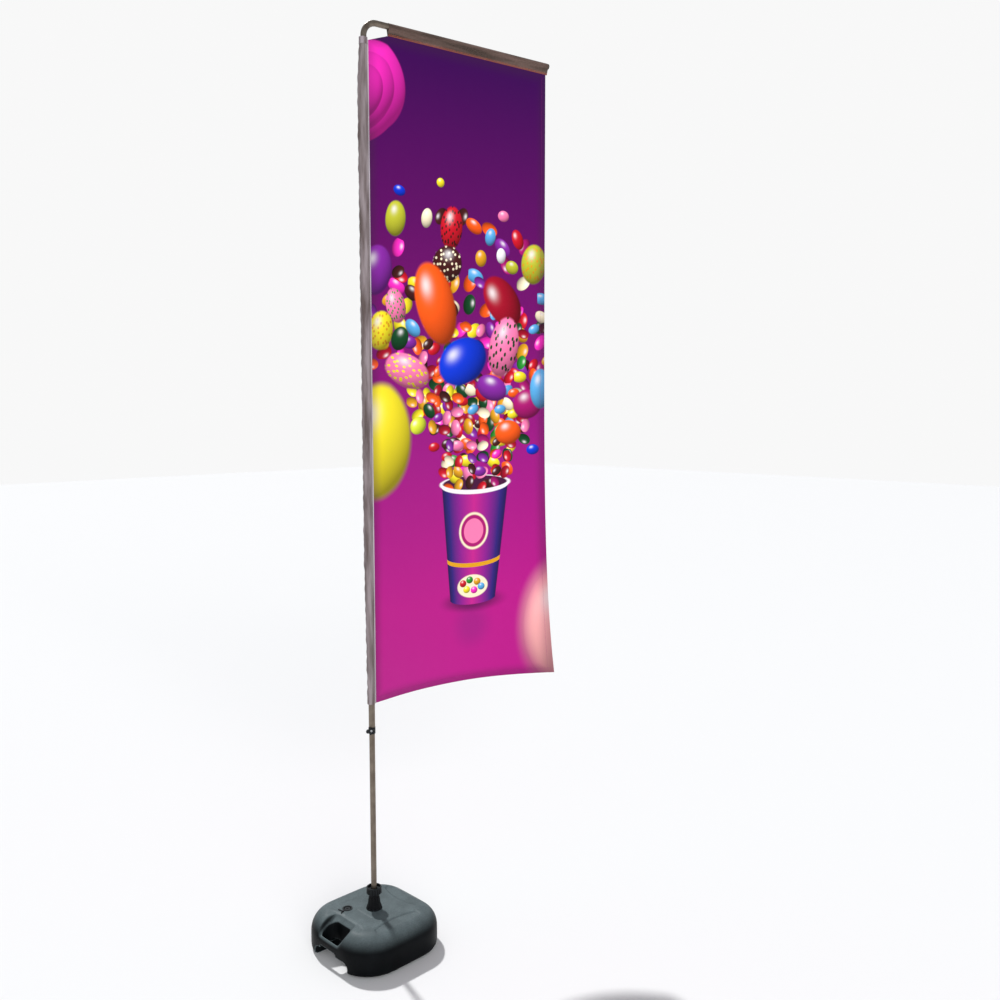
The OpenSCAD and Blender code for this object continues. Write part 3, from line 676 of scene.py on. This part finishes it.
# The print is a burst of glossy sweets above a plain paper cup, on violet that turns magenta.
SWEET_SHADES = {
    "red": colour(205, 20, 40), "dark red": colour(165, 12, 40), "orange": colour(252, 92, 22),
    "gold": colour(225, 160, 30), "yellow": colour(244, 224, 40), "lime": colour(222, 232, 60),
    "cream": colour(250, 235, 200), "blush": colour(240, 168, 168),
    "white": colour(240, 235, 240), "pink": colour(250, 125, 175),
    "rose": colour(250, 45, 190), "magenta": colour(170, 20, 110), "purple": colour(135, 40, 160),
    "blue": colour(10, 55, 210), "sky": colour(90, 170, 225), "green": colour(40, 150, 50),
    "dark green": colour(15, 70, 35), "brown": colour(70, 25, 25), "olive": colour(190, 190, 50),
}



def vector(tree, operation, first, second=None):
    made = add(tree, "ShaderNodeVectorMath", {0: first} if second is None else {0: first, 1: second},
               operation=operation)
    return made.outputs["Value" if operation in ("LENGTH", "DOT_PRODUCT") else "Vector"]


def scaled(tree, place, amount):
    made = add(tree, "ShaderNodeVectorMath", {0: place, "Scale": amount}, operation="SCALE")
    return made.outputs["Vector"]


def turned(tree, place, angle):
    return add(tree, "ShaderNodeVectorRotate", {"Vector": place, "Angle": angle},
               rotation_type="Z_AXIS").outputs[0]


def round_height(tree, reach):
    """The height of a ball over a point that lies at reach from its middle, with its rim at 1."""
    return maths(tree, "SQRT", maths(tree, "SUBTRACT", 1.0, times(tree, reach, reach), clamp=True))


def glossy_form(tree, local, shade):
    """Colours a rounded sweet from its local place, in which its rim lies at 1."""
    reach = vector(tree, "LENGTH", local)
    flat = add(tree, "ShaderNodeSeparateXYZ", {0: local}).outputs
    facing = add(tree, "ShaderNodeCombineXYZ", {
        "X": flat["X"], "Y": flat["Y"], "Z": round_height(tree, reach)}).outputs[0]
    lit = map_range(tree, vector(tree, "DOT_PRODUCT", facing, (-0.35, 0.62, 0.70)), -0.3, 0.9, 0.30, 1.15)
    mirrored = maths(tree, "MAXIMUM", vector(tree, "DOT_PRODUCT", facing, (-0.25, 0.50, 0.83)), 0.0)
    spark = maths(tree, "POWER", mirrored, 26.0)
    return mix(tree, times(tree, spark, 0.75), scaled(tree, shade, lit), (1.0, 0.95, 0.95, 1.0)), reach


# One sweet laid over the ground: an oval at a place, turned, with or without spots.
sweet, given, out = surface_group("sweet", {
    "Under": "Color", "Place": "Vector", "Centre": "Vector", "Stretch": "Vector", "Tilt": "Float",
    "Shade": "Color", "Spots": "Float", "Spot Shade": "Color", "Blur": "Float"}, {"Colour": "Color"})
given = given.outputs
moved = vector(sweet, "SUBTRACT", given["Place"], given["Centre"])
local = vector(sweet, "MULTIPLY", turned(sweet, moved, given["Tilt"]), given["Stretch"])
spotted = add(sweet, "ShaderNodeTexVoronoi", {"Vector": local, "Scale": 3.2}, voronoi_dimensions="2D")
spots = times(sweet, map_range(sweet, spotted.outputs["Distance"], 0.27, 0.19), given["Spots"])
formed, reach = glossy_form(sweet, local, mix(sweet, spots, given["Shade"], given["Spot Shade"]))
inner = maths(sweet, "SUBTRACT", 1.0, given["Blur"])
outer = maths(sweet, "ADD", 1.0, given["Blur"])
mask = map_range(sweet, reach, outer, inner, smooth=True)
sweet.links.new(mix(sweet, mask, given["Under"], formed), out.inputs["Colour"])

SWEETS = [
    # middle, width and height, tilt, shade, shade of any spots
    ((0.36, 2.29), (0.040, 0.040), 0, "yellow", None),
    ((0.15, 2.23), (0.060, 0.045), 10, "blue", None),
    ((0.13, 2.11), (0.100, 0.150), 8, "olive", None),
    ((0.29, 2.13), (0.055, 0.085), 12, "cream", None),
    ((0.42, 2.10), (0.115, 0.190), 6, "red", "brown"),
    ((0.54, 2.12), (0.095, 0.060), 30, "orange", None),
    ((0.63, 2.08), (0.055, 0.080), 15, "sky", None),
    ((0.70, 2.18), (0.060, 0.050), 0, "pink", None),
    ((0.78, 2.08), (0.060, 0.095), -22, "red", None),
    ((0.69, 2.00), (0.050, 0.070), 0, "white", None),
    ((0.75, 1.95), (0.070, 0.060), 20, "olive", None),
    ((0.58, 1.98), (0.060, 0.075), 0, "gold", None),
    ((0.87, 1.97), (0.135, 0.185), 5, "olive", "gold"),
    ((0.40, 1.94), (0.150, 0.165), 30, "brown", "cream"),
    ((0.03, 1.90), (0.160, 0.210), 0, "purple", None),
    ((0.34, 1.76), (0.205, 0.370), -18, "orange", None),
    ((0.70, 1.79), (0.170, 0.260), -38, "dark red", None),
    ((0.13, 1.74), (0.100, 0.150), -15, "pink", "green"),
    ((0.71, 1.58), (0.155, 0.280), 12, "pink", "dark green"),
    ((0.05, 1.64), (0.130, 0.165), 0, "yellow", "gold"),
    ((0.15, 1.60), (0.085, 0.110), 30, "dark green", None),
    ((0.19, 1.46), (0.240, 0.145), 18, "pink", "yellow"),
    ((0.65, 1.39), (0.165, 0.115), 22, "purple", None),
    ((0.84, 1.31), (0.150, 0.140), 0, "magenta", None),
    ((0.91, 1.38), (0.110, 0.190), 0, "sky", None),
    ((0.49, 1.51), (0.270, 0.205), -28, "blue", None),
    ((0.74, 1.18), (0.135, 0.115), 0, "orange", None),
    ((0.87, 1.09), (0.065, 0.050), 0, "blue", None),
    ((0.25, 1.22), (0.090, 0.075), -30, "lime", None),
]
STREAMS = [
    # shift, number of cells to a metre, lowest and highest, spread, crowd
    ((0.31, 0.17, 0.0), 11.0, 1.25, 2.30, 1.40, 0.55),
    ((0.12, 0.55, 0.0), 12.0, 1.20, 2.20, 1.30, 0.6),
    ((0.73, 0.29, 0.0), 14.0, 1.10, 2.05, 1.10, 0.7),
    ((0.47, 0.83, 0.0), 15.0, 0.98, 1.75, 0.80, 1.1),
    ((0.91, 0.38, 0.0), 14.0, 0.925, 1.45, 0.46, 2.0),
    ((0.22, 0.64, 0.0), 16.0, 0.92, 1.20, 0.22, 3.0)]
CUP_U, RIM_V, FOOT_V = 0.565, 0.945, 0.40
RIM_R, FOOT_R, RIM_RISE = 0.188, 0.122, 0.040

# The stream: sheets of small sweets that open out above the cup and thin towards the top.
stream, given, out = surface_group("sweet_stream", {
    "Under": "Color", "Place": "Vector", "Shift": "Vector", "Scale": "Float", "Lowest": "Float",
    "Highest": "Float", "Spread": "Float", "Crowd": "Float"}, {"Colour": "Color"})
given = given.outputs
cells = add(stream, "ShaderNodeTexVoronoi", {
    "Vector": vector(stream, "ADD", given["Place"], given["Shift"]),
    "Scale": given["Scale"], "Randomness": 0.5}, voronoi_dimensions="2D").outputs
home = vector(stream, "SUBTRACT", cells["Position"], given["Shift"])
chance = add(stream, "ShaderNodeSeparateXYZ", {0: cells["Color"]}).outputs
moved = vector(stream, "SUBTRACT", given["Place"], home)
lying = turned(stream, moved, times(stream, chance["X"], 6.28))
grown = times(stream, given["Scale"], map_range(stream, chance["X"], 0.0, 1.0, 1.75, 2.3))
local = vector(stream, "MULTIPLY", scaled(stream, lying, grown), (1.0, 1.45, 1.0))
shades = ["red", "yellow", "green", "dark red", "orange", "cream", "dark red", "brown", "pink", "purple",
          "gold", "dark green", "red", "sky", "magenta", "orange", "brown", "rose"]
picked = ramp(stream, chance["Y"], [
    (index / len(shades), SWEET_SHADES[name]) for index, name in enumerate(shades)], "CONSTANT")
formed, reach = glossy_form(stream, local, picked)
middle = add(stream, "ShaderNodeSeparateXYZ", {0: home}).outputs
rise = map_range(stream, middle["Y"], given["Lowest"], given["Highest"])
half_width = map_range(stream, rise, 0.0, 1.0, 0.15, given["Spread"])
off = maths(stream, "ABSOLUTE", maths(stream, "SUBTRACT", middle["X"], CUP_U))
within = map_range(stream, maths(stream, "DIVIDE", off, half_width), 1.1, 0.6)
just_above = maths(stream, "ADD", given["Lowest"], 0.01)
above = map_range(stream, middle["Y"], given["Lowest"], just_above)
thinned = times(stream, map_range(stream, rise, 1.0, 0.35), given["Crowd"])
density = times(stream, times(stream, within, above), thinned)
kept = maths(stream, "LESS_THAN", chance["Z"], density)
mask = times(stream, map_range(stream, reach, 1.04, 0.92), kept)
stream.links.new(mix(stream, mask, given["Under"], formed), out.inputs["Colour"])


def cup_wall(tree, u, v, ink, oval, sweet_on):
    """The plain paper cup's wall over the lowest sweets: a stripe, a ring and an oval of sweets."""
    half = map_range(tree, v, FOOT_V, RIM_V, FOOT_R, RIM_R * 0.97)
    side = maths(tree, "DIVIDE", maths(tree, "SUBTRACT", u, CUP_U), half)
    off = maths(tree, "ABSOLUTE", side)
    curve = round_height(tree, side)
    foot_line = maths(tree, "SUBTRACT", FOOT_V, times(tree, curve, 0.034))
    top_line = maths(tree, "SUBTRACT", RIM_V, times(tree, curve, RIM_RISE))
    between = times(tree, maths(tree, "GREATER_THAN", v, foot_line), maths(tree, "LESS_THAN", v, top_line))
    wall = times(tree, map_range(tree, off, 1.0, 0.97), between)
    ink = mix(tree, wall, ink, ramp(tree, off, [
        (0.0, colour(196, 36, 140)), (0.45, colour(140, 30, 140)),
        (0.8, colour(52, 34, 120)), (1.0, colour(24, 18, 70))]))
    from_line = maths(tree, "SUBTRACT", maths(tree, "SUBTRACT", v, foot_line), 0.19)
    stripe = maths(tree, "LESS_THAN", maths(tree, "ABSOLUTE", from_line), 0.010)
    ink = mix(tree, times(tree, wall, stripe), ink, SWEET_SHADES["gold"])
    for middle, width, height, shade in (
            ((CUP_U, 0.72), 0.078, 0.088, "cream"), ((CUP_U, 0.72), 0.068, 0.077, "magenta"),
            ((CUP_U, 0.72), 0.052, 0.059, "pink"), ((CUP_U, 0.455), 0.080, 0.055, "cream")):
        patch = map_range(tree, oval(middle, width, height), 1.04, 0.96)
        ink = mix(tree, patch, ink, SWEET_SHADES[shade])
    for centre, shade in (((0.515, 0.47), "red"), ((0.550, 0.485), "green"), ((0.590, 0.475), "gold"),
                          ((0.535, 0.440), "yellow"), ((0.575, 0.435), "rose"), ((0.612, 0.450), "sky")):
        ink = sweet_on(ink, centre, (0.036, 0.034), 0, shade)
    from_top = maths(tree, "ABSOLUTE", maths(tree, "SUBTRACT", v, top_line))
    rim_front = times(tree, map_range(tree, from_top, 0.012, 0.008), maths(tree, "LESS_THAN", off, 1.03))
    return mix(tree, rim_front, ink, colour(245, 238, 242))


def print_band(number, low, high):
    """The dye between two heights: the ground, then every sweet that reaches into this band."""
    dye, tree, shader = new_material(f"printed_knit_{number}")
    uv = add(tree, "ShaderNodeTexCoord").outputs["UV"]
    across = add(tree, "ShaderNodeSeparateXYZ", {0: uv}).outputs
    u, v = across["X"], across["Y"]
    ink = ramp(tree, maths(tree, "DIVIDE", v, FLAT_H), [
        (0.0, colour(184, 24, 134)), (0.14, colour(184, 22, 134)), (0.38, colour(156, 20, 128)),
        (0.60, colour(114, 10, 106)), (0.74, colour(94, 6, 96)), (1.0, colour(56, 2, 80))])

    def sweet_on(under, centre, size, tilt, shade, spot=None, blur=0.06):
        if centre[1] + max(size) < low or centre[1] - max(size) > high:
            return under
        return group_node(tree, sweet, {
            "Under": under, "Place": uv, "Centre": (*centre, 0.0),
            "Stretch": (2 / size[0], 2 / size[1], 1.0), "Tilt": math.radians(tilt),
            "Shade": SWEET_SHADES[shade], "Spots": 1.0 if spot else 0.0,
            "Spot Shade": SWEET_SHADES[spot or "white"], "Blur": blur})["Colour"]

    def oval(middle, width, height):
        away = vector(tree, "SUBTRACT", uv, (*middle, 0.0))
        return vector(tree, "LENGTH", vector(tree, "MULTIPLY", away, (1 / width, 1 / height, 0.0)))

    # A wide round sweet with two raised rings, run off the edge at the mast.
    widest = 0.42
    for width in (widest, 0.33, 0.24):
        ink = sweet_on(ink, (-0.03 - 0.1 * (widest - width), 2.65), (width, width), 0, "rose", blur=0.02)

    # The cup's faint reflection and shadow, its white rim and its dark mouth.
    cup_shows = low < RIM_V + RIM_RISE + 0.01
    if cup_shows:
        glow = map_range(tree, oval((CUP_U, 0.385), 0.20, 0.065), 1.0, 0.35, 0.0, 0.75, smooth=True)
        mirrored = map_range(tree, oval((CUP_U, 0.27), 0.13, 0.15), 1.0, 0.2, 0.0, 0.35, smooth=True)
        mouth = oval((CUP_U, RIM_V), RIM_R, RIM_RISE)
        ink = mix(tree, mirrored, ink, colour(120, 30, 120))
        ink = mix(tree, glow, ink, colour(70, 12, 70))
        ink = mix(tree, map_range(tree, mouth, 1.05, 0.98), ink, colour(245, 235, 240))
        ink = mix(tree, map_range(tree, mouth, 0.96, 0.90), ink, colour(70, 20, 60))
    for shift, scale, lowest, highest, spread, crowd in STREAMS:
        if lowest - 0.05 < high and highest + 0.05 > low:
            ink = group_node(tree, stream, {
                "Under": ink, "Place": uv, "Shift": shift, "Scale": scale, "Lowest": lowest,
                "Highest": highest, "Spread": spread, "Crowd": crowd})["Colour"]
    for centre, size, tilt, shade, spot in SWEETS:
        ink = sweet_on(ink, centre, size, tilt, shade, spot)
    ink = sweet_on(ink, (0.03, 1.16), (0.36, 0.50), 0, "yellow", blur=0.08)
    ink = sweet_on(ink, (0.99, 0.22), (0.34, 0.58), 0, "blush", blur=0.28)
    if cup_shows:
        ink = cup_wall(tree, u, v, ink, oval, sweet_on)

    # A soft darker border all round.
    to_sides = maths(tree, "MINIMUM", u, maths(tree, "SUBTRACT", FLAT_W, u))
    to_ends = maths(tree, "MINIMUM", v, maths(tree, "SUBTRACT", FLAT_H, v))
    border = map_range(tree, maths(tree, "MINIMUM", to_sides, to_ends), 0.0, 0.06, 0.42, 0.0, smooth=True)
    knit = group_node(tree, weave, {"Place": uv})
    tree.links.new(mix(tree, border, ink, colour(60, 30, 60)), shader.inputs["Base Color"])
    tree.links.new(map_range(tree, knit["Creases"], 0.3, 0.7, 0.34, 0.44), shader.inputs["Roughness"])
    tree.links.new(bump(tree, knit["Thread"], 0.25, 0.0002), shader.inputs["Normal"])
    shader.inputs["Specular IOR Level"].default_value = 0.16
    return dye


BAND_EDGES = [0.0, 0.55, 1.05, 1.42, 1.70, 1.98, 2.35, FLAT_H]
print_bands = [print_band(i + 1, *BAND_EDGES[i:i + 2]) for i in range(len(BAND_EDGES) - 1)]


def print_on(piece):
    """Gives each face the dye of the band that it lies in."""
    layer = piece.data.uv_layers.active.data
    for dye in print_bands:
        piece.data.materials.append(dye)
    for face in piece.data.polygons:
        height = sum(layer[i].uv.y for i in face.loop_indices) / face.loop_total
        face.material_index = sum(height > edge for edge in BAND_EDGES[1:-1])


# Hems on the two free edges: a second and third layer of the same cloth.
HEM_THICK = 0.0014
side_hem = cloth(
    "free_edge_hem", 4, 290, lambda t, w: panel_point(1 - HEM / FLAT_W * (1 - t), w),
    (HEM, FLAT_H), HEM_THICK)
low_hem = cloth(
    "lower_edge_hem", 96, 4, lambda t, w: panel_point(t, HEM / FLAT_H * w), (FLAT_W, HEM), HEM_THICK)
for point in side_hem.data.uv_layers.active.data:
    point.uv.x += FLAT_W - HEM
for piece in (panel, side_hem, low_hem):
    print_on(piece)
    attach(piece, "mast")


# ---- Seams ----
# A white tape joins the mast sleeve to the panel. Rows of lock stitches hold the hems, and an
# orange thread closes the arm sleeve.

tape_cloth = sleeve_cloth("seam_tape_cloth", colour(150, 138, 146), colour(190, 182, 188), 1.0)
TAPE_U, TAPE_W = 0.0155, 0.0060
tape = cloth("seam_tape", 4, 300, lambda t, w: from_arm(
    TAPE_U + TAPE_W * t, 0.0, PANEL_LOW + (PANEL_CORNER - PANEL_LOW) * w), (TAPE_W, FLAT_H), 0.0022)
tape.data.materials.append(tape_cloth)
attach(tape, "mast")


def stitches(name, path, shade, length=0.0034, thick=0.0007, step=0.0046):
    """A row of lock stitches along a path: one stitch is modelled, repeated and bent to it."""
    line = bpy.data.curves.new(name + "_line", "CURVE")
    line.dimensions = "3D"
    run = line.splines.new("POLY")
    run.points.add(len(path) - 1)
    for point, place in zip(run.points, path):
        point.co = (*place, 1.0)
    guide = bpy.data.objects.new(name + "_line", line)
    scene.collection.objects.link(guide)
    row = block(name, (0.0, -thick / 2, -thick / 2), (length, thick / 2, thick / 2))
    round_edges(row, lambda at, along: abs(along.x) < 0.1, thick * 0.28, 1)
    apply(row, "ARRAY", fit_type="FIT_CURVE", curve=guide, use_relative_offset=False,
          use_constant_offset=True, constant_offset_displace=(step, 0.0, 0.0))
    apply(row, "CURVE", object=guide, deform_axis="POS_X")
    bpy.data.objects.remove(guide, do_unlink=True)
    row.data.materials.append(shade)
    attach(row, "mast")
    return row


def thread_material(name, shade, lit):
    """Twisted thread or bound cloth in two close shades."""
    material, tree, shader = new_material(name)
    place = add(tree, "ShaderNodeTexCoord").outputs["Object"]
    twist = noise(tree, place, 1400.0, 2.0)
    tree.links.new(ramp(tree, twist, [(0.35, shade), (0.65, lit)]), shader.inputs["Base Color"])
    tree.links.new(bump(tree, twist, 0.4, 0.0002), shader.inputs["Normal"])
    shader.inputs["Roughness"].default_value = 0.55
    return material


PIPING_H = 0.0035
SEAM_Z = ARM_Z - ARM_DROP
piping_cloth = thread_material("piping_cloth", colour(116, 56, 42), colour(158, 84, 66))
piping = cloth("arm_seam_piping", 3, 240, lambda t, w: from_arm(
    ARM_START + (ARM_END - ARM_START) * w, 0.0, SEAM_Z - 0.0005 + PIPING_H * t),
    (PIPING_H, ARM_END - ARM_START), 0.0030)
piping.data.materials.append(piping_cloth)
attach(piping, "mast")
orange_thread = thread_material("orange_thread", colour(196, 70, 40), colour(226, 110, 70))
magenta_thread = thread_material("magenta_thread", colour(120, 24, 100), colour(160, 40, 130))
white_thread = thread_material("white_thread", colour(200, 195, 200), colour(235, 232, 235))

PATH_STEPS = 120
STITCH_IN = 0.003                   # from the inner edge of a hem to its stitches
rows_of_stitches = []
for side, face in ((-1, "front"), (1, "back")):
    off_cloth = Vector(from_arm(0.0, side * 0.0008, 0.0))
    shares = [i / PATH_STEPS for i in range(PATH_STEPS + 1)]
    rows_of_stitches += [
        stitches(f"arm_seam_{face}", [
            from_arm(ARM_START + (ARM_END - ARM_START) * share, side * 0.0034, SEAM_Z + 0.006)
            for share in shares], orange_thread),
        stitches(f"tape_row_{face}", [
            from_arm(0.0195, side * 0.0012, PANEL_LOW + 0.004 + (PANEL_CORNER - PANEL_LOW - 0.008) * share)
            for share in shares], white_thread),
        stitches(f"side_hem_row_{face}", [
            Vector(panel_point(1 - (HEM - STITCH_IN) / FLAT_W, 0.004 + 0.992 * share)) + off_cloth
            for share in shares], magenta_thread),
        stitches(f"low_hem_row_{face}", [
            Vector(panel_point(0.01 + 0.98 * share, (HEM - STITCH_IN) / FLAT_H)) + off_cloth
            for share in shares], magenta_thread)]
